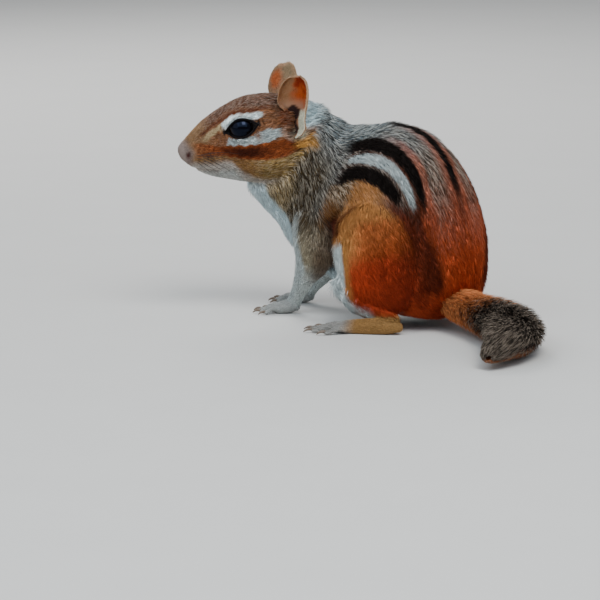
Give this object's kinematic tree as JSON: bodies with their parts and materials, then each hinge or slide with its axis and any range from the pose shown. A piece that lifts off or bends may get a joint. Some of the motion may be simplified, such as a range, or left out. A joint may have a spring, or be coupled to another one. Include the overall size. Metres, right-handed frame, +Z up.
{
  "type": "chipmunk model",
  "caption": "Life-size still model of a striped chipmunk, crouched with its back humped, its head turned to its left and its bushy tail along the floor.",
  "frame": {"origin": "on the floor, under the middle of the footprint's bounding box", "axes": "+Z up; the hips face -Y and the animal's left is +X, so the tail leaves towards +Y"},
  "size_m": [0.0858, 0.146, 0.0832],
  "materials": {
    "back_fur": "short grizzled fur, brown with black and white stripes",
    "rufous_fur": "short fur, orange-red to rufous",
    "tail_fur": "long loose fur, dark with pale tips and a rufous base",
    "ear_skin": "thin skin with very short fine hair",
    "foot_skin": "short buff hair over bare pinkish toes",
    "eye": "wet, glossy black"
  },
  "bodies": {
    "root": {"head": "back_fur", "neck": "back_fur", "torso": "back_fur", "left_ear": "ear_skin", "right_ear": "ear_skin", "left_eye": "eye", "right_eye": "eye", "left_thigh": "rufous_fur", "right_thigh": "rufous_fur", "left_hind_foot": "foot_skin", "right_hind_foot": "foot_skin", "left_foreleg": "back_fur", "right_foreleg": "back_fur", "left_forepaw": "foot_skin", "right_forepaw": "foot_skin", "tail": "tail_fur"}
  },
  "joints": []
}
